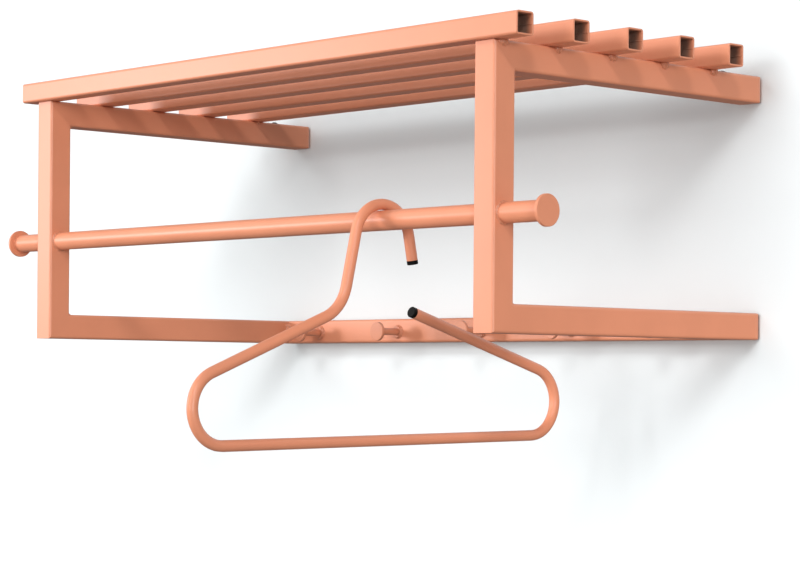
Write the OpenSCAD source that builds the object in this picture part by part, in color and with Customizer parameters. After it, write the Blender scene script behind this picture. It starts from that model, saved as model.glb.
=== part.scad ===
// Wall coat rack: two mitred side frames carry a shelf of square tubes, a clothes rail and a
// rail with pegs, and one bent tube hanger hangs on the clothes rail.
// The origin is midway between the two wall sockets, on the wall plane.
// X runs along the rack, Y points into the wall and Z is up.

/* [Side frames] */
// Width over both side frames
frame_w = 540; // [440:10:800]
// Depth of the side frames, from the wall to the front of the posts
frame_d = 282.5; // [260:0.5:340]
// Height of the side frames
frame_h = 197; // [185:1:260]
// Side of the square frame tube
tube = 20; // [18:0.5:25]
// Wall of the frame tube
tube_wall = 1.5; // [1:0.1:2]
// Outer corner radius of the frame tube
tube_r = 2; // [1.5:0.1:3]

/* [Wall ends] */
// Thickness of the plug flanges that close the arms at the wall
cap_t = 5; // [3:0.1:8]
// Rounding of the rear edges of the plug flanges
cap_r = 4.5; // [1:0.1:6]
// Depth to which the plugs fill the arms
plug_l = 40; // [36:1:44]
// Bore of the sockets that slide over the studs in the wall
socket_d = 10.2; // [8:0.1:11]
// Distance from the plug flanges to the lock screws
lock_y = 30; // [14:0.5:32]
// Thread diameter of the lock screws
lock_d = 4; // [3:0.5:5]

/* [Shelf] */
// Side of the square shelf tube
shelf_tube = 16; // [12:0.5:20]
// Wall of the shelf tube
shelf_wall = 1.2; // [1:0.1:2]
// Outer corner radius of the shelf tube
shelf_r = 2; // [1:0.1:2.5]
// Length by which the shelf tubes pass the left side frame
shelf_left = 15; // [5:1:40]
// Length by which the shelf tubes pass the right side frame
shelf_right = 25; // [5:1:40]
// Distance by which the first shelf tube stands in front of the posts
shelf_front = 5; // [0:0.5:6]
// Clear space between the wall and the last shelf tube
shelf_back = 53.5; // [45:0.5:80]

/* [Clothes rail] */
// Diameter of the clothes rail
rail_d = 14.5; // [12:0.5:16]
// Wall of the clothes rail
rail_wall = 1.5; // [1:0.1:2]
// Height of the clothes rail's axis above the underside of the side frames
rail_h = 80.8; // [60:0.1:100]
// Distance from each side frame to the outer face of the end disc
rail_out = 41; // [20:1:80]
// Diameter of the end discs
disc_d = 22; // [18:0.5:40]
// Thickness of the end discs
disc_t = 2.5; // [2:0.1:6]

/* [Pegs] */
// Height of the pegs above the underside of the side frames
peg_h = 9; // [8.5:0.1:10]
// Distance from the peg rail to the front of the peg heads
peg_out = 25; // [20:0.5:40]
// Distance from the inner faces of the side frames to the outer pegs, without the shift
peg_side = 46; // [30:1:60]
// Distance by which the row of pegs is shifted to the left
peg_shift = 2; // [0:0.5:8]
// Diameter of the peg shanks
peg_d = 6; // [5:0.1:8]
// Diameter of the peg heads
peg_head_d = 16; // [12:0.5:17]
// Thickness of the peg heads
peg_head_t = 2.5; // [2:0.1:5]
// Diameter of the collars at the foot of the pegs
peg_collar_d = 10; // [9:0.1:12]

/* [Hanger] */
// Diameter of the hanger tube
hanger_d = 8; // [6:0.1:9]
// Wall of the hanger tube
hanger_wall = 1; // [0.8:0.1:1.4]
// Width of the hanger
hanger_w = 353.5; // [330:0.5:365]
// Depth from the clothes rail's axis to the middle of the hanger's bar
hanger_drop = 155.8; // [145:0.2:170]
// Bend radius of the hanger's two ends, to the middle of the tube
end_bend = 25.4; // [20:0.2:32]
// Bend radius of the hook, to the middle of the tube
hook_bend = 25.6; // [22:0.1:28]
// Bend radius of the neck, to the middle of the tube
neck_bend = 30.8; // [12:0.2:34]
// Depth from the clothes rail's axis to the corner of the neck
neck_drop = 62.8; // [58:0.2:66]
// Length of the straight tail of the hook, without its cap
tail_l = 18.5; // [15:0.5:25]
// Lean of the hook's stem
stem_lean = 13.6; // [8:0.1:18]
// Lean of the hook's tail
tail_lean = 10.7; // [0:0.1:15]
// Angle by which the whole hanger leans as it hangs
hang_lean = 0.8; // [0:0.1:3]
// Place of the hanger along the clothes rail, from the middle of the rack
hanger_x = 148.5; // [-200:0.5:200]

/* [Hidden] */
$fn = 64;
// Length by which every cut passes the surface it cuts
over = 1;
// Least inner corner radius of a square tube
least_r = 0.3;
// Clearance of a plug, spigot or shank inside its hole
plug_gap = 0.1;
// Clearance of the clothes rail in the holes of the posts
rail_gap = 0.3;
// Space between the clothes rail and the hanger's hook
seat_gap = 0.3;
// Softened edge of the discs, peg heads and caps
edge = 0.5;

// Places that follow from the driving sizes
top_z = tube / 2;
bottom_z = top_z - frame_h;
side_x = (frame_w - tube) / 2;
arm_end = -cap_t;
rail_y = tube / 2 - frame_d;
rail_z = bottom_z + rail_h;
peg_z = bottom_z + peg_h;
peg_rail_y = arm_end - tube / 2;
plug_side = tube - 2 * tube_wall - 2 * plug_gap;
plug_r = max(tube_r - tube_wall, least_r);

// The shelf has five tubes, spread evenly between its front and its back
SHELF = 5;
shelf_pitch = (frame_d + shelf_front - shelf_tube - shelf_back) / (SHELF - 1);
shelf_l = frame_w + shelf_left + shelf_right;
// Radius of the weld seam inside the shelf tubes
seam_r = 0.4;

// Five pegs stand in a row on the peg rail
PEGS = 5;
peg_pitch = (frame_w - 2 * tube - 2 * peg_side) / (PEGS - 1);
// Length of the collar at the foot of a peg
peg_collar_l = 2;

// Leg of the fillet welds in the corners of the side frames and at the ends of the peg rail
fillet = 3;
// Thickness of a fillet weld at its edge
fillet_edge = 0.25;
// Radius of the weld beads between the arms and the shelf tubes, and how far they stand out
bead_r = 3;
bead_out = 0.9;

// Lock screw: button head, hexagon socket, and the end of the shank above the socket bore
lock_head_d = 1.9 * lock_d;
lock_head_h = 0.55 * lock_d;
lock_hex = 0.625 * lock_d;
lock_hex_depth = 0.35 * lock_d;
lock_end_gap = 0.3;

// Length of the spigots of the end discs inside the clothes rail
spigot_l = 10;
// Length of the hanger caps outside and inside the tube
tube_cap_l = 3;
tube_cap_in = 8;

// Distance from the middle of the hanger's width to its hook
hook_offset = 2.7;
// Place of the free end of the hanger's rear shoulder, from the rail's axis
shoulder_end = [30.2, -65.2];
// Amount by which a bend draws the faces of the tube's wall in, and its lap into the runs
bend_draw = 0.05;
bend_lap = 0.4;

// Unit vector at an angle
function unit(a) = [cos(a), sin(a)];
// Direction from one point to another
function heading(a, b) = atan2(b[1] - a[1], b[0] - a[0]);

// Square with round corners, made of true arcs
module round_square(side, r) {
    square([side, side - 2 * r], center = true);
    square([side - 2 * r, side], center = true);
    for (x = [-1, 1], y = [-1, 1])
        translate([x * (side / 2 - r), y * (side / 2 - r)])
            circle(r);
}

// Section of a square tube
module tube_section(side, wall, r) {
    difference() {
        round_square(side, r);
        round_square(side - 2 * wall, max(r - wall, least_r));
    }
}

// Point the children's Z axis along X or along Y
module along_x(x, y, z) {
    translate([x, y, z]) rotate([90, 0, 90]) children();
}
module along_y(x, y, z) {
    translate([x, y, z]) rotate([-90, 0, 0]) children();
}

// Turn the top of a side frame into its bottom
module at_bottom() {
    translate([0, 0, top_z + bottom_z]) mirror([0, 0, 1]) children();
}

// Block on one side of the mitre at the top front corner: above it, or below it
module mitre_block(above) {
    block = 4 * tube;
    translate([0, -frame_d, top_z])
        rotate([-45, 0, 0])
            translate([-block / 2, -block / 2, above ? 0 : -block])
                cube(block);
}

// Upright of a side frame, with a hole for the clothes rail through both of its sides
module front_post() {
    difference() {
        translate([0, -frame_d + tube / 2, bottom_z])
            linear_extrude(frame_h) tube_section(tube, tube_wall, tube_r);
        mitre_block(true);
        at_bottom() mitre_block(true);
        along_x(-tube / 2 - over, rail_y, rail_z)
            cylinder(h = tube + 2 * over, r = rail_d / 2 + rail_gap);
    }
}

// Arm from the mitre at the front to its plug at the wall
module arm() {
    difference() {
        along_y(0, -frame_d, 0)
            linear_extrude(frame_d - cap_t) tube_section(tube, tube_wall, tube_r);
        mitre_block(false);
    }
}

// Top arm, with the hole over its lock screw
module top_arm() {
    difference() {
        arm();
        translate([0, arm_end - lock_y, 0])
            cylinder(h = tube / 2 + over, r = lock_d / 2 + plug_gap);
    }
}

// Fillet weld that fills an inner corner at the origin, towards +X and +Y, centred in Z
module fillet_weld(length) {
    difference() {
        translate([0, 0, -length / 2]) linear_extrude(length) square(fillet);
        translate([fillet + fillet_edge, fillet + fillet_edge, -length / 2 - over])
            cylinder(h = length + 2 * over, r = fillet);
    }
}

// Fillet welds in the two inner corners of a side frame
module frame_welds() {
    weld_l = tube - 2 * tube_r;
    translate([0, -frame_d + tube, top_z - tube])
        rotate([0, 90, 0]) fillet_weld(weld_l);
    translate([0, -frame_d + tube, bottom_z + tube])
        rotate([90, 0, 90]) fillet_weld(weld_l);
}

// Flange that closes an arm at the wall, with its rear edges rounded
module flange() {
    r = min(cap_r, cap_t - edge / 2);
    intersection() {
        along_y(0, arm_end, 0) linear_extrude(cap_t) round_square(tube, tube_r);
        flange_outline(r);
        rotate([0, 90, 0]) flange_outline(r);
    }
}

// Block as thick as the flange, with two rounded rear edges that run along Z
module flange_outline(r) {
    half = tube / 2;
    translate([0, 0, -half]) linear_extrude(tube) {
        translate([-half, arm_end]) square([tube, cap_t - r]);
        translate([r - half, arm_end]) square([tube - 2 * r, cap_t]);
        for (x = [-1, 1])
            translate([x * (half - r), -r]) circle(r);
    }
}

// Plug of a bottom arm, flush with the wall
module bottom_plug() {
    flange();
    along_y(0, arm_end - plug_l / 2, 0)
        linear_extrude(plug_l / 2) round_square(plug_side, plug_r);
}

// Plug of a top arm, bored to slide over a stud in the wall and tapped for the lock screw
module wall_socket() {
    difference() {
        union() {
            flange();
            along_y(0, arm_end - plug_l, 0)
                linear_extrude(plug_l) round_square(plug_side, plug_r);
        }
        along_y(0, arm_end - plug_l - over, 0)
            cylinder(h = plug_l + cap_t + 2 * over, r = socket_d / 2);
        translate([0, arm_end - lock_y, 0])
            cylinder(h = tube / 2, r = lock_d / 2 + plug_gap);
    }
}

// Button-head screw that clamps the stud in the socket
module lock_screw() {
    dome_r = (pow(lock_head_d / 2, 2) + pow(lock_head_h, 2)) / (2 * lock_head_h);
    shank_z = socket_d / 2 + lock_end_gap;
    translate([0, arm_end - lock_y, 0])
        difference() {
            union() {
                translate([0, 0, shank_z])
                    cylinder(h = top_z - shank_z + lock_head_h / 2, r = lock_d / 2);
                translate([0, 0, top_z])
                    intersection() {
                        cylinder(h = lock_head_h, r = lock_head_d / 2 - edge / 2);
                        translate([0, 0, lock_head_h - dome_r]) sphere(dome_r);
                    }
            }
            translate([0, 0, top_z + lock_head_h - lock_hex_depth])
                cylinder(h = lock_hex_depth + over, r = lock_hex / 2 / cos(30), $fn = 6);
        }
}

// One shelf tube, counted from the front, with the weld seam along its rear inner wall
module shelf_tube(i) {
    inner = shelf_tube / 2 - shelf_wall;
    along_x(-frame_w / 2 - shelf_left, shelf_y(i), top_z + shelf_tube / 2)
        linear_extrude(shelf_l) {
            tube_section(shelf_tube, shelf_wall, shelf_r);
            intersection() {
                translate([inner, 0]) circle(seam_r);
                square(shelf_tube - shelf_wall, center = true);
            }
        }
}

// Middle of a shelf tube in Y
function shelf_y(i) = -frame_d - shelf_front + shelf_tube / 2 + i * shelf_pitch;
// Beads sit under the middle of each tube, and on the arm behind the mitre
function bead_y(i) = max(shelf_y(i), -frame_d + tube / 2);

// Weld beads along the outer top edge of an arm, one under each shelf tube
module shelf_welds(out) {
    difference() {
        for (i = [0 : SHELF - 1])
            translate([out * (tube / 2 + bead_out - bead_r), bead_y(i), top_z + bead_out - bead_r])
                sphere(bead_r);
        translate([-tube, -frame_d - tube, top_z])
            cube([2 * tube, frame_d + tube, tube]);
        along_y(0, -frame_d, 0)
            linear_extrude(frame_d) round_square(tube, tube_r);
    }
}

// Tube of the clothes rail, through both posts
module clothes_rail() {
    rail_l = frame_w + 2 * (rail_out - disc_t);
    along_x(-rail_l / 2, rail_y, rail_z)
        difference() {
            cylinder(h = rail_l, r = rail_d / 2);
            translate([0, 0, -over])
                cylinder(h = rail_l + 2 * over, r = rail_d / 2 - rail_wall);
        }
}

// Disc on the right end of the clothes rail, with its spigot inside the rail
module rail_disc() {
    along_x(frame_w / 2 + rail_out - disc_t, rail_y, rail_z) {
        button(disc_d / 2, disc_t);
        translate([0, 0, -spigot_l])
            cylinder(h = spigot_l, r = rail_d / 2 - rail_wall - plug_gap);
    }
}

// Round disc that stands on Z = 0, with softened edges
module button(r, t) {
    rotate_extrude() {
        square([r, t - edge]);
        square([r - edge, t]);
        translate([r - edge, t - edge]) circle(edge);
    }
}

// Square tube between the bottom arms, bored for the pegs in its front wall
module peg_rail() {
    rail_l = frame_w - 2 * tube;
    difference() {
        along_x(-rail_l / 2, peg_rail_y, bottom_z + tube / 2)
            linear_extrude(rail_l) tube_section(tube, tube_wall, tube_r);
        for (i = [0 : PEGS - 1])
            along_y(peg_x(i), peg_rail_y - tube / 2 - over, peg_z)
                cylinder(h = tube_wall + 2 * over, r = peg_d / 2 + plug_gap);
    }
}

// Place of a peg along the peg rail, counted from the left
function peg_x(i) = (i - (PEGS - 1) / 2) * peg_pitch - peg_shift;

// Fillet welds between the front of the peg rail and the bottom arms
module peg_rail_welds() {
    weld_l = tube - 2 * tube_r;
    weld_y = peg_rail_y - tube / 2;
    for (out = [-1, 1])
        scale([out, 1, 1])
            translate([frame_w / 2 - tube, weld_y, bottom_z + tube / 2])
                rotate([0, 0, 180]) fillet_weld(weld_l);
}

// Turned peg: head, shank, collar against the peg rail and a stub through its front wall
module peg(i) {
    along_y(peg_x(i), peg_rail_y - tube / 2 - peg_out, peg_z) {
        translate([0, 0, peg_head_t]) mirror([0, 0, 1]) button(peg_head_d / 2, peg_head_t);
        cylinder(h = peg_out + tube_wall, r = peg_d / 2);
        translate([0, 0, peg_out - peg_collar_l])
            cylinder(h = peg_collar_l, r = peg_collar_d / 2);
    }
}

// The hanger is drawn in its own plane: U towards the wall and V up, from the rail's axis.
// Its tube runs from the hook's tail over the rail, down the stem, round the neck, along the
// front shoulder, round both ends and back along the rear shoulder to its free end.
hook_c = [0, rail_d / 2 + seat_gap + hanger_d / 2 - hook_bend];
stem_a = 270 - stem_lean;
stem_top = hook_c + hook_bend * unit(stem_a - 90);
neck = stem_top + (stem_top[1] + neck_drop) / cos(stem_lean) * unit(stem_a);
end_u = (hanger_w - hanger_d) / 2 - end_bend;
front_c = [-end_u + hook_offset, end_bend - hanger_drop];
rear_c = [end_u + hook_offset, end_bend - hanger_drop];
front_a = 360 + heading(neck, front_c) - asin(end_bend / norm(front_c - neck));
rear_a = heading(shoulder_end, rear_c) + asin(end_bend / norm(rear_c - shoulder_end));
front_top = front_c + end_bend * unit(front_a - 90);
rear_top = rear_c + end_bend * unit(rear_a + 90);
neck_turn = stem_a - front_a;
neck_run = neck_bend * tan(neck_turn / 2);
neck_c = neck - neck_run * unit(stem_a) + neck_bend * unit(stem_a - 90);
tail_top = hook_c + hook_bend * unit(tail_lean);
tail_end = tail_top + tail_l * unit(tail_lean - 90);

// Put the hanger's own plane in its place on the rail
module hang() {
    translate([hanger_x, rail_y, rail_z])
        rotate([90, 0, 90])
            rotate([0, 0, hang_lean])
                children();
}

// Section of the hanger tube, drawn in on both faces of its wall where it is bent
module hanger_section(draw) {
    difference() {
        circle(hanger_d / 2 - draw);
        circle(hanger_d / 2 - hanger_wall + draw);
    }
}

// Straight run of the tube between two points of the hanger's plane
module run(a, b) {
    translate([a[0], a[1], 0])
        rotate([0, 0, heading(a, b)])
            rotate([0, 90, 0])
                linear_extrude(norm(b - a)) hanger_section(0);
}

// Bend of the tube about a centre, from one angle on by a turn, lapped into the runs
module bend(c, bend_r, from, turn) {
    lap_a = asin(bend_lap / bend_r);
    translate([c[0], c[1], 0])
        rotate([0, 0, from - lap_a])
            rotate_extrude(angle = turn + 2 * lap_a)
                translate([bend_r, 0]) hanger_section(bend_draw);
}

// Bent tube of the hanger
module hanger_tube() {
    hang() {
        run(tail_end, tail_top);
        bend(hook_c, hook_bend, tail_lean, 180 - stem_lean - tail_lean);
        run(stem_top, neck - neck_run * unit(stem_a));
        bend(neck_c, neck_bend, front_a + 90, neck_turn);
        run(neck + neck_run * unit(front_a), front_top);
        bend(front_c, end_bend, front_a - 90, 360 - front_a);
        run(front_c - [0, end_bend], rear_c - [0, end_bend]);
        bend(rear_c, end_bend, -90, 180 + rear_a);
        run(rear_top, shoulder_end);
    }
}

// Plastic plug on an open end of the hanger tube, which leaves it in direction a
module hanger_cap(p, a) {
    hang() translate([p[0], p[1], 0]) rotate([0, 0, a]) rotate([0, 90, 0]) {
        button(hanger_d / 2, tube_cap_l);
        translate([0, 0, -tube_cap_in])
            cylinder(h = tube_cap_in, r = hanger_d / 2 - hanger_wall - plug_gap);
    }
}

// Put a part of a side frame on the left, -1, or on the right, 1
module at_side(side) {
    translate([side * side_x, 0, 0]) children();
}

module left_front_post() { color("darksalmon") at_side(-1) front_post(); }
module right_front_post() { color("darksalmon") at_side(1) front_post(); }
module left_top_arm() { color("salmon") at_side(-1) top_arm(); }
module right_top_arm() { color("salmon") at_side(1) top_arm(); }
module left_bottom_arm() { color("salmon") at_side(-1) at_bottom() arm(); }
module right_bottom_arm() { color("salmon") at_side(1) at_bottom() arm(); }
module left_frame_welds() { color("coral") at_side(-1) frame_welds(); }
module right_frame_welds() { color("coral") at_side(1) frame_welds(); }
module left_wall_socket() { color("coral") at_side(-1) wall_socket(); }
module right_wall_socket() { color("coral") at_side(1) wall_socket(); }
module left_lock_screw() { color("dimgray") at_side(-1) lock_screw(); }
module right_lock_screw() { color("dimgray") at_side(1) lock_screw(); }
module left_bottom_plug() { color("coral") at_side(-1) at_bottom() bottom_plug(); }
module right_bottom_plug() { color("coral") at_side(1) at_bottom() bottom_plug(); }
module left_shelf_welds() { color("coral") at_side(-1) shelf_welds(-1); }
module right_shelf_welds() { color("coral") at_side(1) shelf_welds(1); }
module left_rail_disc() { color("coral") mirror([1, 0, 0]) rail_disc(); }
module right_rail_disc() { color("coral") rail_disc(); }
module hanger_hook_cap() { color("dimgray") hanger_cap(tail_end, tail_lean - 90); }
module hanger_shoulder_cap() { color("dimgray") hanger_cap(shoulder_end, 180 + rear_a); }

left_front_post();
right_front_post();
left_top_arm();
right_top_arm();
left_bottom_arm();
right_bottom_arm();
left_frame_welds();
right_frame_welds();
left_wall_socket();
right_wall_socket();
left_lock_screw();
right_lock_screw();
left_bottom_plug();
right_bottom_plug();
color("lightsalmon") shelf_tube(0);  // shelf_tube_1
color("lightsalmon") shelf_tube(1);  // shelf_tube_2
color("lightsalmon") shelf_tube(2);  // shelf_tube_3
color("lightsalmon") shelf_tube(3);  // shelf_tube_4
color("lightsalmon") shelf_tube(4);  // shelf_tube_5
left_shelf_welds();
right_shelf_welds();
color("salmon") clothes_rail();
left_rail_disc();
right_rail_disc();
color("salmon") peg_rail();
color("coral") peg_rail_welds();
color("lightsalmon") peg(0);  // peg_1
color("lightsalmon") peg(1);  // peg_2
color("lightsalmon") peg(2);  // peg_3
color("lightsalmon") peg(3);  // peg_4
color("lightsalmon") peg(4);  // peg_5
color("salmon") hanger_tube();
hanger_hook_cap();
hanger_shoulder_cap();
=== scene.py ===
"""Wall coat rack in coral powder coat: finishes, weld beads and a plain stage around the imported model."""

import math
import random

import bmesh
import bpy
from bpy.props import FloatProperty, FloatVectorProperty, IntProperty, PointerProperty
from mathutils import Matrix, Vector, noise


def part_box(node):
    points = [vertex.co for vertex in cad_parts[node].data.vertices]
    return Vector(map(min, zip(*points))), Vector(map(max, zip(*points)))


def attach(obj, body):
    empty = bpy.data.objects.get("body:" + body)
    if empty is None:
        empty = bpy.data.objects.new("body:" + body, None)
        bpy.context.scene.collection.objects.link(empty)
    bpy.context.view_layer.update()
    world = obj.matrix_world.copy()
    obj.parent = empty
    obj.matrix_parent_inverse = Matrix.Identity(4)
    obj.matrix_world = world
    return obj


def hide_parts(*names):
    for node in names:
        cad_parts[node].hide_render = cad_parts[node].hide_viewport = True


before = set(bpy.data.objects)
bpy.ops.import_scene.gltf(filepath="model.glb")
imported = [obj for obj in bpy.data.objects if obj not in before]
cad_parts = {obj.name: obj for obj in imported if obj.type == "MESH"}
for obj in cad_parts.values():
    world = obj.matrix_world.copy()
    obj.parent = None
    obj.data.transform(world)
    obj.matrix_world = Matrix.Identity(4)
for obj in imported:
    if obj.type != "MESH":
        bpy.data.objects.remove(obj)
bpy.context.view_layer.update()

bl_info = {
    "name": "Wall Coat Rack",
    "version": (1, 0, 0),
    "blender": (4, 5, 0),
    "location": "3D View > Sidebar > Coat Rack",
    "description": "Finishes a wall coat rack of square tube: powder coat, weld beads and a plain stage",
    "category": "Object",
}

MM = 0.001
WHITE = (1.0, 1.0, 1.0)

# The side frames, with the way along X in which each one faces
SIDES = {"left": -1, "right": 1}
SHELF_TUBES = [f"shelf_tube_{i}" for i in range(1, 6)]
PEGS = [f"peg_{i}" for i in range(1, 6)]
SHELF_TUBE_WALL = 1.2 * MM

# The seeds of each kind of bead are counted on from here
SEEDS = {"corner": 0, "shelf": 0, "mitre": 20, "peg rail": 40, "shelf inside": 60,
         "clothes rail": 80, "peg": 90}

# How far each seed moves the noise of its bead along X, Y and Z, counted in the noise's features
SEED_STEPS = (1.0, 2.3, -1.7)

# A mitre seam stops this far from the tubes' corners, which are rounded
MITRE_INSET = 2.2 * MM

# Shelf beads: behind the middle of their tube, but not nearer to the front of the arm than this
BEAD_BACK = 4.5 * MM
BEAD_FROM_FRONT = 8 * MM
BEAD_SCATTER = 1 * MM

# Shelf beads: inside the arm's outer face, below its top, and their highest reach above it
BEAD_SUNK = 0.5 * MM
BEAD_DROP = 1.3 * MM
BEAD_REACH = 0.4 * MM

# The one bead on the inner side of each arm, under the rear tube
INNER_BEAD_LENGTH = 4.5 * MM
INNER_BEAD_RADIUS = 1.8 * MM
INNER_BEAD_SUNK = 1.3 * MM
INNER_BEAD_DROP = 1.1 * MM

# Radius at which the beads round the pegs start, inside the edge of the pegs' collars
PEG_BEAD_FOOT = 4.2 * MM

# The wall panel lies this far behind the wall plane, which the rack touches
WALL_GAP = 0.2 * MM


# Finishes

# Places of a Mix node's colour sockets, whose names repeat for each kind of value
MIX_FACTOR, MIX_A, MIX_B, MIX_RESULT = 0, 6, 7, 2


class Field:
    """A value or colour that varies over a surface; sums with it add Math nodes."""

    def __init__(self, finish, socket):
        self.finish = finish
        self.socket = socket

    def math(self, operation, a, b, clamp=False):
        """Add a Math node of two values."""
        return self.finish.node("ShaderNodeMath", {"operation": operation, "use_clamp": clamp},
                                {0: a, 1: b})

    def __add__(self, other):
        return self.math("ADD", self, other)

    def __radd__(self, other):
        return self.math("ADD", other, self)

    def __sub__(self, other):
        return self.math("SUBTRACT", self, other)

    def __rsub__(self, other):
        return self.math("SUBTRACT", other, self)

    def __mul__(self, other):
        return self.math("MULTIPLY", self, other)

    def __rmul__(self, other):
        return self.math("MULTIPLY", other, self)

    def clamped(self):
        return self.math("ADD", self, 0.0, clamp=True)

    def swing(self, amount):
        """From half of `amount` down to half of it up, as this field runs from 0 to 1."""
        return (self - 0.5) * amount


class Finish:
    """A material, or the world, that is put together from nodes."""

    def __init__(self, name, group="materials"):
        self.owner = getattr(bpy.data, group).new(name)
        self.owner.use_nodes = True
        self.tree = self.owner.node_tree
        self.tree.nodes.clear()

    def node(self, kind, settings=None, sockets=None, output=0):
        """Add a node: its settings first, then the values or links of its sockets."""
        made = self.tree.nodes.new(kind)
        for name, value in (settings or {}).items():
            setattr(made, name, value)
        for name, value in (sockets or {}).items():
            if isinstance(value, Field):
                self.tree.links.new(value.socket, made.inputs[name])
            else:
                made.inputs[name].default_value = value
        return Field(self, made.outputs[output]) if made.outputs else None

    def noise(self, size, detail=2.0, shift=0.0):
        """Noise from 0 to 1, with features about `size` metres across; `shift` moves it along."""
        place = self.node("ShaderNodeTexCoord", output="Object")
        moved = self.node("ShaderNodeVectorMath", {"operation": "ADD"},
                          {0: place, 1: (shift, shift, shift)})
        return self.node("ShaderNodeTexNoise", {"noise_dimensions": "3D"},
                         {"Vector": moved, "Scale": 1.0 / size, "Detail": detail,
                          "Roughness": 0.55})

    def ramp(self, value, low, high):
        """0 up to `low`, 1 from `high` on, and a soft rise between them."""
        return self.node("ShaderNodeMapRange", {"interpolation_type": "SMOOTHSTEP"},
                         {"Value": value, "From Min": low, "From Max": high})

    def slope(self, value, band, start, end):
        """`start` below the band, `end` above it, and a straight change inside it."""
        low, high = band
        return self.node("ShaderNodeMapRange", None,
                         {"Value": value, "From Min": low, "From Max": high,
                          "To Min": start, "To Max": end})

    def mix(self, factor, a, b):
        """A colour between two colours."""
        return self.node("ShaderNodeMix", {"data_type": "RGBA"},
                         {MIX_FACTOR: factor, MIX_A: a, MIX_B: b}, output=MIX_RESULT)

    def shade(self, colour, value):
        """A colour made lighter or darker."""
        return self.node("ShaderNodeVectorMath", {"operation": "SCALE"},
                         {0: colour, "Scale": value})

    def softened(self, radius):
        """The surface normal, with the edges rounded."""
        return self.node("ShaderNodeBevel", {"samples": 6}, {"Radius": radius})

    def edges(self, softened):
        """A mask that grows where a softened normal leaves the surface's own one."""
        flat = self.node("ShaderNodeNewGeometry", output="Normal")
        facing = self.node("ShaderNodeVectorMath", {"operation": "DOT_PRODUCT"},
                           {0: softened, 1: flat}, output="Value")
        return (1.0 - facing).clamped()

    def bumped(self, height, depth, normal):
        """The normal of a surface that rises by `depth` metres where its height is 1."""
        return self.node("ShaderNodeBump", None, {
            "Height": height, "Distance": depth, "Strength": 1.0, "Normal": normal})

    def inside(self, low, high, wall):
        """1 on the inner skin of a tube that lies along X, a few millimetres in from its ends."""
        mouth, depth = 0.3 * MM, 7 * MM
        place = self.node("ShaderNodeTexCoord", output="Object")
        x, y, z = (self.node("ShaderNodeSeparateXYZ", None, {0: place}, output=axis)
                   for axis in range(3))
        off_y, off_z = (self.node("ShaderNodeMath", {"operation": "ABSOLUTE"}, {0: off_middle})
                        for off_middle in (y - (low.y + high.y) / 2, z - (low.z + high.z) / 2))
        off = self.node("ShaderNodeMath", {"operation": "MAXIMUM"}, {0: off_y, 1: off_z})
        half = (high.z - low.z) / 2
        # The mask ends within the thickness of the tube's wall
        inner = 1.0 - self.ramp(off, half - 0.8 * wall, half - 0.4 * wall)
        past_left_mouth = self.ramp(x, low.x + mouth, low.x + depth)
        in_right_mouth = self.ramp(x, high.x - depth, high.x - mouth)
        return inner * past_left_mouth * (1.0 - in_right_mouth)

    def surface(self, **sockets):
        """Close the material with its shader; names use _ for a space."""
        shader = self.node("ShaderNodeBsdfPrincipled", None,
                           {name.replace("_", " "): value for name, value in sockets.items()})
        return self.closed("ShaderNodeOutputMaterial", shader)

    def closed(self, output, shader):
        """Join a shader to the output node, and return the material or the world."""
        self.node(output, None, {"Surface": shader})
        return self.owner


def rgba(colour, value=1.0):
    """A colour for a node's socket, made `value` times as bright."""
    return tuple(c * value for c in colour) + (1.0,)


def powder_coat(name, shift=0.0, tone=1.0, radius=0.6 * MM, tube=None):
    """Coral powder coat: fine orange peel, clouded tone, and edges where the coat runs thin, lightened in
    patches as wear and as a painted highlight.

    Inside a shelf tube whose name is given as `tube`, the steel is nearly bare, and its dark colour also
    paints the shade deep inside the tube.
    """
    coat = bpy.context.scene.rack_coat
    finish = Finish(name)
    normal = finish.softened(radius)
    edge = finish.edges(normal)
    peel = finish.noise(coat.peel, shift=shift)
    speck = finish.noise(coat.peel * 0.35, detail=1.0, shift=shift + 3.1)
    cloud = finish.noise(coat.cloud, detail=3.0, shift=shift + 7.7)
    rubbed = finish.ramp(finish.noise(6 * MM, detail=3.0, shift=shift + 5.3), low=0.35, high=0.75)
    worn = (edge * rubbed).clamped()
    tint = finish.mix(finish.ramp(cloud, low=0.3, high=0.7),
                      rgba(coat.colour, tone * (1 - coat.variation)),
                      rgba(coat.colour, tone * (1 + coat.variation)))
    tint = finish.shade(tint, 1.0 + speck.swing(coat.speckle))
    # Rubbed edges take a lighter colour: partly thin coat, partly a painted highlight where the rounded
    # edges catch the light
    tint = finish.mix(worn * coat.wear, tint, rgba(coat.edge_wear_and_highlight_colour))
    rough = coat.roughness + peel.swing(0.10) + cloud.swing(0.06) + edge * 0.05
    if tube:
        # Inside the tube: bare steel, coloured dark brown as painted shade where little light gets in
        bare = finish.inside(*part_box(tube), SHELF_TUBE_WALL)
        streak = finish.noise(4 * MM, detail=4.0, shift=shift + 9.1)
        steel = finish.mix(streak, rgba(coat.inner_steel_and_shade_colour, 0.6), rgba(coat.inner_steel_and_shade_colour, 1.4))
        overspray = finish.noise(3 * MM, detail=3.0, shift=shift + 6.3)
        tint = finish.mix(bare * (0.72 + 0.5 * overspray).clamped(), tint, steel)
        rough = rough + bare * 0.25
    bump = finish.bumped(peel + speck * 0.3, coat.peel_depth, normal)
    return finish.surface(Base_Color=tint, Roughness=rough, Normal=bump, IOR=1.5)


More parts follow.
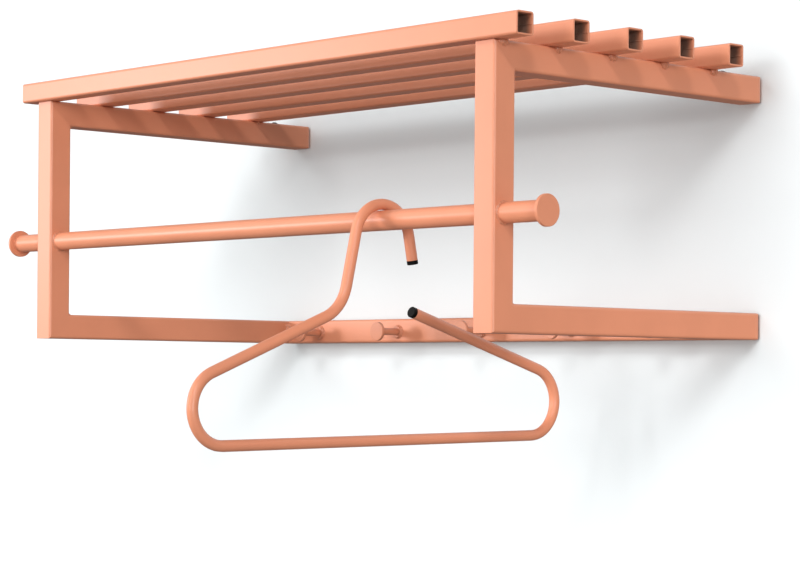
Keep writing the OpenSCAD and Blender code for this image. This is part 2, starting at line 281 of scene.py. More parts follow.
def weld_coat(name, shift=0.0):
    """Powder coat over a weld bead: coarser, with pits, and painted shade that darkens its hollows and
    pits.
    """
    coat = bpy.context.scene.rack_coat
    finish = Finish(name)
    lumps = finish.noise(1.6 * MM, detail=3.0, shift=shift)
    pits = finish.ramp(finish.noise(1.1 * MM, shift=shift + 2.9), low=0.62, high=0.72)
    # The low parts of the lumps get a darker colour: painted shade in the bead's hollows
    tint = finish.mix(finish.ramp(lumps, low=0.3, high=0.7), rgba(coat.colour, 0.80),
                      rgba(coat.colour))
    # The pits are coloured darker: painted shade in them
    tint = finish.shade(tint, 1.0 - pits * 0.35)
    rough = coat.roughness - 0.04 + lumps.swing(0.16) + pits * 0.15
    bump = finish.bumped(lumps - pits * 0.6, 0.12 * MM, finish.softened(0.3 * MM))
    return finish.surface(Base_Color=tint, Roughness=rough, Normal=bump, IOR=1.5)


def moulded_plastic(name):
    """Matt black plastic with a spark-eroded grain."""
    fixings = bpy.context.scene.rack_fixings
    finish = Finish(name)
    normal = finish.softened(0.3 * MM)
    edge = finish.edges(normal)
    grain = finish.noise(0.45 * MM)
    cloud = finish.noise(8 * MM, shift=4.0)
    tint = finish.mix(cloud, rgba(fixings.plastic, 0.8), rgba(fixings.plastic, 1.25))
    # The colour turns lighter along the edges
    tint = finish.mix(edge * 0.5, tint, rgba(fixings.plastic, 2.2))
    rough = 0.52 + grain.swing(0.18) - edge * 0.08
    bump = finish.bumped(grain, 0.04 * MM, normal)
    return finish.surface(Base_Color=tint, Roughness=rough, Normal=bump, IOR=1.2)


def black_oxide(name):
    """Blackened steel of a screw: satin, with bright wear on its edges."""
    fixings = bpy.context.scene.rack_fixings
    finish = Finish(name)
    normal = finish.softened(0.25 * MM)
    rubbed = finish.ramp(finish.noise(1.5 * MM, detail=3.0), low=0.45, high=0.7)
    film = finish.noise(4 * MM, detail=3.0, shift=6.0)
    worn = (finish.edges(normal) * rubbed * 1.6).clamped()
    tint = finish.mix(film, rgba(fixings.screw, 0.7), rgba(fixings.screw, 1.3))
    tint = finish.mix(worn, tint, rgba(fixings.bare_steel))
    rough = 0.38 + film.swing(0.2) - worn * 0.08
    bump = finish.bumped(film, 0.03 * MM, normal)
    return finish.surface(Base_Color=tint, Roughness=rough, Normal=bump, Metallic=0.85)


def dress(material, *nodes):
    """Give CAD nodes their finish."""
    for name in nodes:
        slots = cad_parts[name].material_slots
        if not slots:
            raise RuntimeError(f"{name} has no material slot")
        for slot in slots:
            slot.material = material


# Weld beads

def skin(name, beads, material, body, replaces=()):
    """A closed mesh over beads of rings; a bead whose last ring is its first runs round."""
    mesh = bpy.data.meshes.new(name)
    bm = bmesh.new()
    for rings in beads:
        runs_round = rings[-1] is rings[0]
        rows = [[bm.verts.new(p) for p in ring] for ring in rings[:-1 if runs_round else None]]
        if runs_round:
            rows.append(rows[0])
        for row, following in zip(rows, rows[1:]):
            for i in range(len(row)):
                j = (i + 1) % len(row)
                bm.faces.new((row[i], row[j], following[j], following[i]))
        if not runs_round:
            bm.faces.new(rows[0][::-1])
            bm.faces.new(rows[-1])
    bmesh.ops.recalc_face_normals(bm, faces=bm.faces)
    bm.to_mesh(mesh)
    bm.free()
    mesh.shade_smooth()
    mesh.materials.append(material)
    obj = bpy.data.objects.new(name, mesh)
    bpy.context.scene.collection.objects.link(obj)
    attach(obj, body)
    if replaces:
        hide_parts(*replaces)
    return obj


def wobble(p, size, seed):
    """Smooth noise from -1 to 1 at a point, with features about `size` across."""
    return noise.noise(p / size + Vector([step * seed for step in SEED_STEPS]))


def fillet_rings(corner, along, length, a, b, leg, seed):
    """Rings of a rippled fillet weld: it fills the corner between the directions a and b."""
    corner, along, a, b = Vector(corner), Vector(along), Vector(a), Vector(b)
    # How deep the bead reaches into the corner, and how far its edges dip under the faces
    sunk, toe = 0.3 * MM, 0.15 * MM
    ripple, ripple_pitch = 0.08, 1.5 * MM
    lumps, lump_size = 0.10, 2.5 * MM
    drift, drift_size = 0.07, 3.5 * MM
    end_share, end_length = 0.45, 0.5 * leg
    # A bow of 0.5 would make the face flat, and less than that hollows it
    bow, bow_change = 0.30, 0.10
    step, fewest_steps = 0.35 * MM, 12
    steps = max(fewest_steps, int(length / step))
    face_steps = 8
    rings = []
    for i in range(steps + 1):
        t = i / steps
        centre = corner + along * (t - 0.5) * length
        # Thinner at both ends
        end = min(1.0, (min(t, 1 - t) * length / end_length) ** 0.5 + end_share)
        swell = (ripple * math.cos(2 * math.pi * t * length / ripple_pitch)
                 + lumps * wobble(centre, lump_size, seed))
        leg_a, leg_b = (leg * end * (1 + swell + drift * wobble(centre, drift_size, drift_seed))
                        for drift_seed in (seed + 5, seed + 9))
        ring = [centre - (a + b) * sunk, centre + a * leg_a - b * toe]
        for k in range(face_steps + 1):
            s = k / face_steps
            bulge = 2 * s * (1 - s) * (bow + bow_change * swell)
            ring.append(centre + a * leg_a * ((1 - s) ** 2 + bulge)
                        + b * leg_b * (s ** 2 + bulge))
        ring.append(centre + b * leg_b - a * toe)
        rings.append(ring)
    return rings


def bead_rings(centre, length, radius, out, ceiling, seed):
    """Rings of a short weld bead that runs along Y under a tube, with its top under `ceiling`."""
    x, middle, z = centre
    steps, points = 22, 20
    ripples, ripple = 3.2, 0.09
    lumps, lump_size = 0.16, 2.2 * MM
    flattening = 0.9
    # A blunt outline, which keeps a little width at both ends
    bluntness, rounding, end_share = 2.4, 0.55, 0.02
    rings = []
    for i in range(steps + 1):
        t = i / steps
        y = middle + (t - 0.5) * length
        full = (1 + end_share - abs(2 * t - 1) ** bluntness) ** rounding
        thickness = radius * full * (1 + ripple * math.cos(2 * math.pi * ripples * t + seed))
        ring = []
        for k in range(points):
            turn = 2 * math.pi * k / points
            across, up = math.cos(turn), math.sin(turn)
            place = Vector((x, y, z)) + Vector((across, 0, up)) * radius
            r = thickness * (1 + lumps * wobble(place, lump_size, seed))
            ring.append(Vector((x + out * r * flattening * across, y, min(z + r * up, ceiling))))
        rings.append(ring)
    return rings


def collar_rings(centre, away, radius, leg, seed):
    """Rings of a weld bead that runs round a bar where it leaves a face; `away` points along it."""
    centre, away = Vector(centre), Vector(away)
    side = away.orthogonal().normalized()
    sunk, toe = 0.3 * MM, 0.2 * MM
    ripple, steps_in_ripple = 0.10, 4
    lumps, lump_size = 0.30, 3.2 * MM
    # The face is a quarter round, pinched in its middle, that ends a little lower on the bar
    pinch, bar_share = 0.14, 0.9
    step, fewest_steps = 0.45 * MM, 28
    steps = max(fewest_steps, int(2 * math.pi * radius / step))
    face_steps = 6
    rings = []
    for i in range(steps):
        turn = 2 * math.pi * i / steps
        spoke = side * math.cos(turn) + away.cross(side) * math.sin(turn)
        place = centre + spoke * radius
        lump = (1 + ripple * math.cos(2 * math.pi * i / steps_in_ripple)
                + lumps * wobble(place, lump_size, seed))
        ring = [place - spoke * sunk - away * toe, place + spoke * leg * lump - away * toe]
        for k in range(face_steps + 1):
            s = math.pi / 2 * k / face_steps
            reach = leg * lump * (1 - pinch + pinch * math.cos(4 * s))
            ring.append(place + spoke * reach * math.cos(s) + away * reach * math.sin(s))
        ring.append(place - spoke * sunk + away * leg * lump * bar_share)
        rings.append(ring)
    rings.append(rings[0])
    return rings


def seam_rings(start, end, face, width, height, seed):
    """Rings of a dressed mitre weld: a low, broken ridge along a line on a face."""
    face = Vector(face)
    across = (end - start).normalized().cross(face)
    wander, wander_size = 0.25 * MM, 4 * MM
    spread, spread_size = 0.25, 3 * MM
    # The share of the ridge's height that stays, and how much more or less the breaks make of it
    kept, breaks, break_size = 0.55, 1.3, 1.3 * MM
    tip_share, taper = 0.15, 8
    dip, sunk = 0.01 * MM, 0.25 * MM
    steps, half_points = 70, 4
    rings = []
    for i in range(steps + 1):
        t = i / steps
        line = start.lerp(end, t)
        centre = line + across * wander * wobble(line, wander_size, seed)
        # Narrower at both ends
        tip = min(1.0, taper * min(t, 1 - t) + tip_share)
        wide = width * tip * (1 + spread * wobble(centre, spread_size, seed + 2))
        ring = []
        for k in range(-half_points, half_points + 1):
            s = k / half_points
            p = centre + across * wide / 2 * s
            rise = height * (1 - s * s) * (kept + breaks * wobble(p, break_size, seed + 4))
            ring.append(p + face * (rise - dip))
        ring.append(centre + across * wide / 2 - face * sunk)
        ring.append(centre - across * wide / 2 - face * sunk)
        rings.append(ring)
    return rings


# Settings

class RackCoat(bpy.types.PropertyGroup):
    """The powder coat."""

    colour: FloatVectorProperty(
        name="Colour", description="Colour of the powder coat", subtype="COLOR",
        size=3, min=0, max=1, default=(0.70, 0.262, 0.145))
    # Lighter colour of the edges: thin coat, and a painted highlight
    edge_wear_and_highlight_colour: FloatVectorProperty(
        name="Edge colour", description="Colour where the coat runs thin on an edge, with a painted highlight",
        subtype="COLOR", size=3, min=0, max=1, default=(0.84, 0.46, 0.33))
    # Dark colour inside the open tubes: bare steel with painted shade
    inner_steel_and_shade_colour: FloatVectorProperty(
        name="Inner colour", description="Colour of the bare steel inside the open tubes, darkened by painted shade",
        subtype="COLOR", size=3, min=0, max=1, default=(0.22, 0.125, 0.09))
    roughness: FloatProperty(
        name="Roughness", description="Roughness of the coat", subtype="FACTOR",
        min=0, max=1, default=0.36)
    variation: FloatProperty(
        name="Clouding", description="Share by which the tone drifts along the tubes",
        subtype="FACTOR", min=0, max=0.2, default=0.025)
    speckle: FloatProperty(
        name="Speckle", description="Share by which the tone changes from grain to grain",
        subtype="FACTOR", min=0, max=0.2, default=0.05)
    # Share of that lighter edge colour: part wear, part painted highlight
    wear: FloatProperty(
        name="Edge wear and painted highlight", description="How much of the edge colour shows on the edges",
        subtype="FACTOR", min=0, max=1, default=0.8)
    peel: FloatProperty(
        name="Orange peel", description="Size of the orange peel", unit="LENGTH",
        min=0.2 * MM, max=5 * MM, default=0.8 * MM)
    peel_depth: FloatProperty(
        name="Peel depth", description="Depth of the orange peel", unit="LENGTH",
        min=0, max=0.2 * MM, default=0.035 * MM)
    cloud: FloatProperty(
        name="Cloud size", description="Size of the drifts in tone", unit="LENGTH",
        min=5 * MM, max=500 * MM, default=45 * MM)


class RackFixings(bpy.types.PropertyGroup):
    """The caps and the lock screws."""

    plastic: FloatVectorProperty(
        name="Plastic", description="Colour of the hanger's end caps", subtype="COLOR",
        size=3, min=0, max=1, default=(0.003, 0.0028, 0.0026))
    screw: FloatVectorProperty(
        name="Screw", description="Colour of the blackened lock screws", subtype="COLOR",
        size=3, min=0, max=1, default=(0.075, 0.070, 0.066))
    bare_steel: FloatVectorProperty(
        name="Bare steel", description="Colour of the steel on worn screw edges",
        subtype="COLOR", size=3, min=0, max=1, default=(0.42, 0.40, 0.38))


class RackWelds(bpy.types.PropertyGroup):
    """The weld beads."""

    bead_length: FloatProperty(
        name="Bead length", description="Length of the beads under the shelf tubes",
        unit="LENGTH", min=2 * MM, max=12 * MM, default=8.8 * MM)
    bead_radius: FloatProperty(
        name="Bead radius", description="Radius of the beads under the shelf tubes",
        unit="LENGTH", min=1 * MM, max=4 * MM, default=3.1 * MM)
    fillet: FloatProperty(
        name="Fillet leg", description="Leg of the fillet welds in the corners",
        unit="LENGTH", min=1 * MM, max=5 * MM, default=3 * MM)
    rail_bead: FloatProperty(
        name="Rail bead", description="Height of the beads round the rail at the side frames",
        unit="LENGTH", min=0.5 * MM, max=3 * MM, default=1.1 * MM)
    peg_bead: FloatProperty(
        name="Peg bead", description="Height of the beads round the pegs' collars",
        unit="LENGTH", min=0.5 * MM, max=3 * MM, default=1.9 * MM)
    seam_width: FloatProperty(
        name="Mitre seam width", description="Width of the dressed weld on the mitres",
        unit="LENGTH", min=0.5 * MM, max=3 * MM, default=0.9 * MM)
    seam_height: FloatProperty(
        name="Mitre seam height", description="Height of the dressed weld on the mitres",
        unit="LENGTH", min=0, max=0.4 * MM, default=0.05 * MM)
    seed: IntProperty(
        name="Seed", description="Number that the beads' unevenness is drawn from",
        min=0, default=5)


class RackStage(bpy.types.PropertyGroup):
    """The wall, the floor, the lamps and the camera."""

    floor_drop: FloatProperty(
        name="Floor", description="Height of the origin above the floor", unit="LENGTH",
        min=0.3, max=2.5, default=1.3)
    wall_span: FloatProperty(
        name="Wall width", description="Width of the wall and the floor", unit="LENGTH",
        min=1, max=20, default=9.0)
    wall_colour: FloatVectorProperty(
        name="Wall colour", description="Colour of the wall", subtype="COLOR",
        size=3, min=0, max=1, default=(0.675, 0.712, 0.722))
    floor_colour: FloatVectorProperty(
        name="Floor colour", description="Colour of the floor", subtype="COLOR",
        size=3, min=0, max=1, default=(0.70, 0.70, 0.70))
    floor_glow: FloatProperty(
        name="Floor glow", description="Brightness that the floor shows without any light",
        subtype="FACTOR", min=0, max=1, default=0.5)
    sky: FloatProperty(
        name="Light from above", description="Even light from the upper half of the room",
        min=0, max=2, default=0.22)
    ground: FloatProperty(
        name="Light from below", description="Even light from the lower half of the room",
        min=0, max=2, default=0.32)
    mirrored_front: FloatProperty(
        name="Mirrored front", description="Brightness of the front of the room in the sheen",
        min=0, max=1, default=1.0)
    mirrored_back: FloatProperty(
        name="Mirrored back", description="Brightness of the wall's side in the sheen",
        min=0, max=1, default=0.6)
    high_right: FloatProperty(
        name="High right light", description="Strength of the soft light high on the right",
        min=0, max=10, default=0.85)
    high_left: FloatProperty(
        name="High left light", description="Strength of the soft light high on the left",
        min=0, max=10, default=0.35)
    low_right: FloatProperty(
        name="Low right light", description="Strength of the soft light low on the right",
        min=0, max=10, default=1.2)
    low_front: FloatProperty(
        name="Low front light", description="Strength of the soft light low in front",
        min=0, max=10, default=0.9)
    low_left: FloatProperty(
        name="Low left light", description="Strength of the soft light low on the left",
        min=0, max=10, default=1.55)
    left_panel: FloatProperty(
        name="Left panel light", description="Power of the square lamp in front on the left",
        subtype="POWER", min=0, max=200, default=12.0)
    wall_bounce: FloatProperty(
        name="Wall bounce", description="Power of the light that the wall gives back on the right",
        subtype="POWER", min=0, max=200, default=0.45)
    rear_light: FloatProperty(
        name="Rear light", description="Strength of the light that the wall gives back",
        min=0, max=10, default=0.5)
    wall_front: FloatProperty(
        name="Wall light in front", description="Low light in front that falls on the wall alone",
        min=0, max=10, default=3.4)
    wall_right: FloatProperty(
        name="Wall light from the right",
        description="Light from the right that falls on the wall alone",
        min=0, max=10, default=0.75)
    wall_left: FloatProperty(
        name="Wall light from the left",
        description="Light from the left that falls on the wall alone",
        min=0, max=10, default=0.25)
    lens: FloatProperty(
        name="Lens", description="Focal length of the camera, in millimetres",
        min=20, max=300, default=107.3)
    shift: FloatProperty(
        name="Lens shift", description="Vertical shift of the lens, in picture widths",
        min=-0.5, max=0.5, default=0.109)
    azimuth: FloatProperty(
        name="Camera azimuth", description="Direction in which the camera looks",
        subtype="ANGLE", min=-math.pi, max=math.pi, default=math.radians(47.37))
    roll: FloatProperty(
        name="Camera roll", description="Roll of the camera", subtype="ANGLE",
        min=-0.2, max=0.2, default=math.radians(0.465))
    camera: FloatVectorProperty(
        name="Camera place", description="Place of the camera", subtype="TRANSLATION",
        unit="LENGTH", size=3, default=(1.400, -1.4065, -0.2177))


# Pieces

def outer_and_inner(box, out):
    """X of the outer and of the inner face of a side's piece, which faces the way `out`."""
    low, high = box
    return (high.x, low.x) if out > 0 else (low.x, high.x)


class RACK_OT_side_frames(bpy.types.Operator):
    """Finish the two mitred side frames, their corner fillets and their dressed mitre seams"""

    bl_idname = "rack.side_frames"
    bl_label = "Side frames"

    def execute(self, context):
        welds = context.scene.rack_welds
        bead_coat = weld_coat("coral coat on frame welds", shift=0.4)
        for n, side in enumerate(SIDES):
            coat = powder_coat(f"coral coat on {side} frame", shift=1.3 * n, radius=0.2 * MM)
            dress(coat, f"{side}_front_post", f"{side}_top_arm", f"{side}_bottom_arm")
            top_lo, top_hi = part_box(f"{side}_top_arm")
            low_lo, low_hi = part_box(f"{side}_bottom_arm")
            post_lo, post_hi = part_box(f"{side}_front_post")
            weld_lo, weld_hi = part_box(f"{side}_frame_welds")
            middle = (top_lo.x + top_hi.x) / 2
            corners = ((top_lo.z, -1), (low_hi.z, 1))
            fillets = [fillet_rings((middle, post_hi.y, z), along=(1, 0, 0),
                                    length=weld_hi.x - weld_lo.x, a=(0, 1, 0), b=(0, 0, into),
                                    leg=welds.fillet, seed=welds.seed + SEEDS["corner"] + 3 * n + k)
                       for k, (z, into) in enumerate(corners)]
            skin(f"{side}_corner_welds", fillets, bead_coat, "rack",
                 [f"{side}_frame_welds"])
            mitres = (((post_lo.y, top_hi.z), (post_hi.y, top_lo.z)),
                      ((post_lo.y, low_lo.z), (post_hi.y, low_hi.z)))
            seams = []
            for k, (outer, inner) in enumerate(mitres):
                for x, face in ((post_lo.x, -1), (post_hi.x, 1)):
                    start, end = Vector((x, *outer)), Vector((x, *inner))
                    inset = (end - start).normalized() * MITRE_INSET
                    seed = welds.seed + SEEDS["mitre"] + 4 * n + 2 * k + face
                    seams.append(seam_rings(start + inset, end - inset, (face, 0, 0),
                                            welds.seam_width, welds.seam_height, seed))
            skin(f"{side}_mitre_seams", seams, coat, "rack")
        return {"FINISHED"}


class RACK_OT_shelf(bpy.types.Operator):
    """Finish the five shelf tubes and run the weld beads that hold them on the arms"""

    bl_idname = "rack.shelf"
    bl_label = "Shelf"

    def execute(self, context):
        welds = context.scene.rack_welds
        for i, tube in enumerate(SHELF_TUBES):
            dress(powder_coat(f"coral coat on {tube}", shift=10 + 2.1 * i, tube=tube), tube)
        bead_coat = weld_coat("coral coat on shelf welds", shift=2.2)
        for n, (side, out) in enumerate(SIDES.items()):
            arm_lo, arm_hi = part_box(f"{side}_top_arm")
            outer, inner = outer_and_inner((arm_lo, arm_hi), out)
            ceiling = arm_hi.z + BEAD_REACH
            draw = random.Random(welds.seed + n)
            beads = []
            for i, tube in enumerate(SHELF_TUBES):
                lo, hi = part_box(tube)
                y = (max((lo.y + hi.y) / 2 + BEAD_BACK, arm_lo.y + BEAD_FROM_FRONT)
                     + draw.uniform(-1, 1) * BEAD_SCATTER)
                length = welds.bead_length * draw.uniform(0.85, 1.15)
                radius = welds.bead_radius * draw.uniform(0.9, 1.1)
                beads.append(bead_rings((outer - out * BEAD_SUNK, y, arm_hi.z - BEAD_DROP),
                                        length, radius, out, ceiling,
                                        seed=welds.seed + SEEDS["shelf"] + 7 * i + n))
            lo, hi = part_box(SHELF_TUBES[-1])
            beads.append(bead_rings((inner + out * INNER_BEAD_SUNK, (lo.y + hi.y) / 2,
                                     arm_hi.z - INNER_BEAD_DROP),
                                    INNER_BEAD_LENGTH, INNER_BEAD_RADIUS, -out, ceiling,
                                    seed=welds.seed + SEEDS["shelf inside"] + n))
            skin(f"{side}_shelf_beads", beads, bead_coat, "rack", [f"{side}_shelf_welds"])
        return {"FINISHED"}


class RACK_OT_clothes_rail(bpy.types.Operator):
    """Finish the round clothes rail, its two end discs and the beads where it passes the posts"""

    bl_idname = "rack.clothes_rail"
    bl_label = "Clothes rail"

    def execute(self, context):
        welds = context.scene.rack_welds
        dress(powder_coat("coral coat on clothes rail", shift=21.0), "clothes_rail")
        dress(powder_coat("coral coat on rail discs", shift=23.0), "left_rail_disc",
              "right_rail_disc")
        lo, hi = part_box("clothes_rail")
        beads = []
        for n, (side, out) in enumerate(SIDES.items()):
            outer, inner = outer_and_inner(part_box(f"{side}_front_post"), out)
            for x, away in ((outer, out), (inner, -out)):
                beads.append(collar_rings((x, (lo.y + hi.y) / 2, (lo.z + hi.z) / 2),
                                          away=(away, 0, 0), radius=(hi.z - lo.z) / 2,
                                          leg=welds.rail_bead,
                                          seed=welds.seed + SEEDS["clothes rail"] + n))
        bead_coat = weld_coat("coral coat on rail welds", shift=3.7)
        skin("rail_weld_rings", beads, bead_coat, "rack")
        return {"FINISHED"}


class RACK_OT_peg_rail(bpy.types.Operator):
    """Finish the peg rail, its turned pegs, their beads and the fillet welds at its two ends"""

    bl_idname = "rack.peg_rail"
    bl_label = "Peg rail"

    def execute(self, context):
        welds = context.scene.rack_welds
        dress(powder_coat("coral coat on peg rail", shift=31.0), "peg_rail")
        # The pegs' coat is a tenth darker than the rail's: painted shade on the pegs
        dress(powder_coat("coral coat on pegs", shift=33.0, tone=0.9), *PEGS)
        lo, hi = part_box("peg_rail")
        weld_lo, weld_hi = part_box("peg_rail_welds")
        forward = (0, -1, 0)
        fillets = [fillet_rings((x, lo.y, (lo.z + hi.z) / 2), along=(0, 0, 1),
                                length=weld_hi.z - weld_lo.z, a=forward, b=(into, 0, 0),
                                leg=welds.fillet, seed=welds.seed + SEEDS["peg rail"] + k)
                   for k, (x, into) in enumerate(((lo.x, 1), (hi.x, -1)))]
        beads = []
        for n, peg in enumerate(PEGS):
            peg_lo, peg_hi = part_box(peg)
            foot = ((peg_lo.x + peg_hi.x) / 2, lo.y, (peg_lo.z + peg_hi.z) / 2)
            beads.append(collar_rings(foot, away=forward, radius=PEG_BEAD_FOOT,
                                      leg=welds.peg_bead, seed=welds.seed + SEEDS["peg"] + n))
        bead_coat = weld_coat("coral coat on peg welds", shift=6.4)
        skin("peg_weld_rings", beads, bead_coat, "rack")
        end_coat = weld_coat("coral coat on peg rail welds", shift=5.1)
        skin("peg_rail_end_welds", fillets, end_coat, "rack", ["peg_rail_welds"])
        return {"FINISHED"}


class RACK_OT_wall_fixings(bpy.types.Operator):
    """Finish the sockets and plugs at the wall and the two lock screws"""

    bl_idname = "rack.wall_fixings"
    bl_label = "Wall fixings"

    def execute(self, context):
        dress(powder_coat("coral coat on wall ends", shift=41.0), "left_wall_socket",
              "right_wall_socket", "left_bottom_plug", "right_bottom_plug")
        dress(black_oxide("black oxide on screws"), "left_lock_screw", "right_lock_screw")
        return {"FINISHED"}


class RACK_OT_hanger(bpy.types.Operator):
    """Finish the bent tube of the hanger and the plastic caps on its ends"""

    bl_idname = "rack.hanger"
    bl_label = "Hanger"

    def execute(self, context):
        # The hanger's coat is 6% lighter than the rest: painted light on the hanger
        dress(powder_coat("coral coat on hanger", shift=51.0, tone=1.06), "hanger_tube")
        dress(moulded_plastic("black plastic caps"), "hanger_hook_cap", "hanger_shoulder_cap")
        return {"FINISHED"}


# Stage

def backdrop_material(name, diffuse, glow):
    """Pale paint that shows only from its front, and keeps the shadows that fall on it."""
    finish = Finish(name)
    paint = finish.node("ShaderNodeBsdfDiffuse", None, {"Color": rgba(diffuse)})
    light = finish.node("ShaderNodeEmission", None, {"Color": rgba(WHITE), "Strength": glow})
    lit = finish.node("ShaderNodeAddShader", None, {0: paint, 1: light})
    clear = finish.node("ShaderNodeBsdfTransparent")
    behind = finish.node("ShaderNodeNewGeometry", output="Backfacing")
    both = finish.node("ShaderNodeMixShader", None, {0: behind, 1: lit, 2: clear})
    return finish.closed("ShaderNodeOutputMaterial", both)


def panel(name, corners, material):
    """A flat backdrop panel, which only the camera sees."""
    mesh = bpy.data.meshes.new(name)
    mesh.from_pydata(corners, [], [(0, 1, 2, 3)])
    mesh.materials.append(material)
    obj = bpy.data.objects.new(name, mesh)
    bpy.context.scene.collection.objects.link(obj)
    for ray in ("diffuse", "glossy", "transmission", "volume_scatter", "shadow"):
        setattr(obj, f"visible_{ray}", False)
    return obj


def wall_and_floor(stage):
    """The wall behind the rack and the floor in front of it, as panels that meet at the wall."""
    half = stage.wall_span / 2
    low = -stage.floor_drop
    wall = backdrop_material("white wall", stage.wall_colour, glow=0.0)
    floor = backdrop_material("pale floor", stage.floor_colour, stage.floor_glow)
    return [panel("wall", [(-half, WALL_GAP, low), (half, WALL_GAP, low),
                           (half, WALL_GAP, half), (-half, WALL_GAP, half)], wall),
            panel("floor", [(-half, WALL_GAP - half, low), (half, WALL_GAP - half, low),
                            (half, WALL_GAP, low), (-half, WALL_GAP, low)], floor)]


def surroundings(stage):
    """Even light from the room, its brightness in the sheen, and white where the camera sees it."""
    # Bands of the direction's own Y or Z, over which the brightness changes
    halves_meet = (-0.35, 0.25)
    sheen_rises, sheen_below = (0.0, 0.4), 0.2
    finish = Finish("even surroundings", "worlds")
    place = finish.node("ShaderNodeTexCoord", output="Generated")
    y, z = (finish.node("ShaderNodeSeparateXYZ", None, {0: place}, output=axis)
            for axis in ("Y", "Z"))
    even = finish.slope(z, halves_meet, stage.ground, stage.sky)
    raised = finish.slope(z, sheen_rises, sheen_below, 1.0)
    mirrored = finish.slope(y, halves_meet, stage.mirrored_front, stage.mirrored_back)
    camera, glossy, transmission = (finish.node("ShaderNodeLightPath", output=f"Is {ray} Ray")
                                    for ray in ("Camera", "Glossy", "Transmission"))
    in_sheen = (glossy + transmission).clamped()
    light = even + in_sheen * (raised * mirrored - even)
    seen = finish.node("ShaderNodeMath", {"operation": "MAXIMUM"}, {0: camera, 1: light})
    shown = finish.node("ShaderNodeBackground", None, {"Color": rgba(WHITE), "Strength": seen})
    return finish.closed("ShaderNodeOutputWorld", shown)


def lamp(stage, setting, kind, towards, in_sheen=True, **values):
    """A lamp whose light comes from the direction `towards`, as strong as the stage's setting."""
    name = setting.replace("_", " ")
    data = bpy.data.lights.new(name, kind)
    data.energy = getattr(stage, setting)
    for key, value in values.items():
        setattr(data, key, value)
    obj = bpy.data.objects.new(name, data)
    bpy.context.scene.collection.objects.link(obj)
    obj.rotation_euler = Vector(towards).to_track_quat("Z", "Y").to_euler()
    obj.visible_glossy = in_sheen
    return obj


def sun(stage, setting, towards, width, in_sheen=True):
    """A far lamp that looks `width` degrees wide, which softens its shadows."""
    return lamp(stage, setting, "SUN", towards, in_sheen, angle=math.radians(width))


def square_lamp(stage, setting, place, towards, size, in_sheen=True):
    """A square lamp near the rack."""
    obj = lamp(stage, setting, "AREA", towards, in_sheen, shape="SQUARE", size=size)
    obj.location = place
    return obj


def light_only(lamps, state, panels):
    """Let lamps light the backdrop panels alone, or everything but them."""
    group = bpy.data.collections.new(f"backdrop {state.lower()}d")
    for obj in panels:
        group.objects.link(obj)
    for member in group.collection_objects:
        member.light_linking.link_state = state
    for obj in lamps:
        obj.light_linking.receiver_collection = group


def hang_lamps(stage, panels):
    """Lamps that light the rack, and lamps that throw its shadows on the wall."""
    on_rack = [
        sun(stage, "high_right", towards=(1.0, -1.1, 1.0), width=8),
        sun(stage, "high_left", towards=(-1.0, -1.2, 1.05), width=10),
        sun(stage, "low_left", towards=(-0.9, -1.0, 0.21), width=9, in_sheen=False),
        sun(stage, "low_right", towards=(1.0, -0.45, 0.10), width=14),
        sun(stage, "low_front", towards=(0.12, -1.0, 0.10), width=14),
        square_lamp(stage, "left_panel", place=(-1.55, -1.50, 0.10),
                    towards=(-1.55, -1.25, 0.13), size=0.55),
        square_lamp(stage, "wall_bounce", place=(0.62, -0.03, -0.30),
                    towards=(1.0, 0.0, -0.5), size=0.30, in_sheen=False),
        sun(stage, "rear_light", towards=(0.2, 1.0, 0.5), width=60)]
    on_wall = [
        sun(stage, "wall_front", towards=(0.12, -1.0, 0.16), width=36),
        sun(stage, "wall_right", towards=(0.55, -1.0, 0.53), width=13),
        sun(stage, "wall_left", towards=(-0.55, -1.0, 0.53), width=13)]
    light_only(on_rack, "EXCLUDE", panels)
    light_only(on_wall, "INCLUDE", panels)


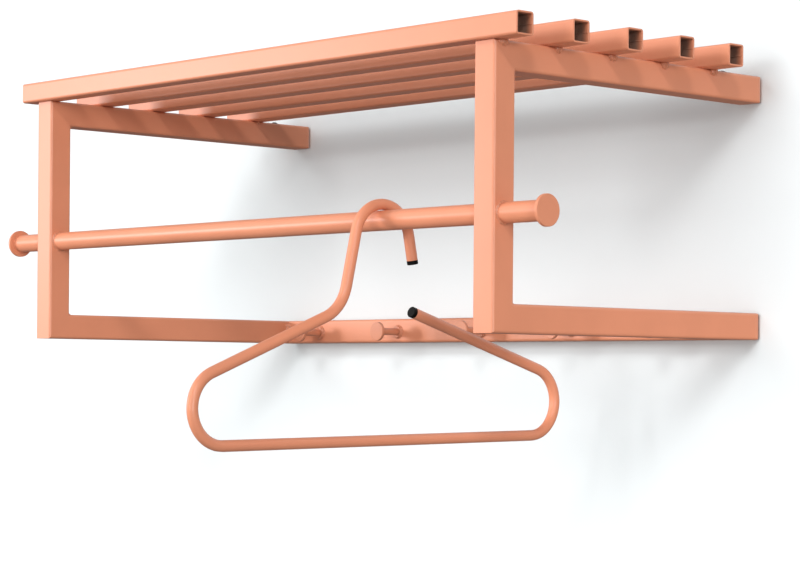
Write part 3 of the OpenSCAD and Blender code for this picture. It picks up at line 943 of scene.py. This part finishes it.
def level_camera(stage):
    """A camera that looks level apart from its roll; its shift brings the rack into the picture."""
    data = bpy.data.cameras.new("camera")
    data.lens = stage.lens
    data.sensor_width = 36.0
    data.shift_y = stage.shift
    data.clip_start = 0.05
    data.clip_end = 50.0
    camera = bpy.data.objects.new("camera", data)
    bpy.context.scene.collection.objects.link(camera)
    forward = Vector((-math.sin(stage.azimuth), math.cos(stage.azimuth), 0))
    level_right = Vector((math.cos(stage.azimuth), math.sin(stage.azimuth), 0))
    up = Vector((0, 0, 1))
    right = level_right * math.cos(stage.roll) + up * math.sin(stage.roll)
    top = up * math.cos(stage.roll) - level_right * math.sin(stage.roll)
    turn = Matrix((right, top, -forward)).transposed()
    camera.matrix_world = Matrix.Translation(stage.camera) @ turn.to_4x4()
    return camera


class RACK_OT_stage(bpy.types.Operator):
    """Set up the wall, the floor, the lamps, the even surroundings and the camera"""

    bl_idname = "rack.stage"
    bl_label = "Stage"

    def execute(self, context):
        scene = context.scene
        stage = scene.rack_stage
        hang_lamps(stage, wall_and_floor(stage))
        scene.world = surroundings(stage)
        scene.camera = level_camera(stage)
        scene.view_settings.view_transform = "Standard"
        return {"FINISHED"}


# Add-on

OPERATORS = [RACK_OT_side_frames, RACK_OT_shelf, RACK_OT_clothes_rail, RACK_OT_peg_rail,
             RACK_OT_wall_fixings, RACK_OT_hanger, RACK_OT_stage]
GROUPS = {"rack_coat": RackCoat, "rack_fixings": RackFixings, "rack_welds": RackWelds,
          "rack_stage": RackStage}


class RACK_PT_sidebar(bpy.types.Panel):
    """Panel that lists the pieces of the coat rack and their settings"""

    bl_idname = "RACK_PT_sidebar"
    bl_label = "Coat Rack"
    bl_space_type = "VIEW_3D"
    bl_region_type = "UI"
    bl_category = "Coat Rack"

    def draw(self, context):
        for operator in OPERATORS:
            self.layout.operator(operator.bl_idname)
        for group in GROUPS:
            settings = getattr(context.scene, group)
            for name in settings.__annotations__:
                self.layout.prop(settings, name)


def register():
    """Add the settings, the operators and the panel to Blender."""
    for cls in [*GROUPS.values(), *OPERATORS, RACK_PT_sidebar]:
        bpy.utils.register_class(cls)
    for name, group in GROUPS.items():
        setattr(bpy.types.Scene, name, PointerProperty(type=group))


def unregister():
    """Take the settings, the operators and the panel away again."""
    for name in GROUPS:
        delattr(bpy.types.Scene, name)
    for cls in reversed([*GROUPS.values(), *OPERATORS, RACK_PT_sidebar]):
        bpy.utils.unregister_class(cls)


def main():
    """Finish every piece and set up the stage."""
    register()
    bpy.ops.rack.side_frames()
    bpy.ops.rack.shelf()
    bpy.ops.rack.clothes_rail()
    bpy.ops.rack.peg_rail()
    bpy.ops.rack.wall_fixings()
    bpy.ops.rack.hanger()
    bpy.ops.rack.stage()


if __name__ == "__main__":
    main()
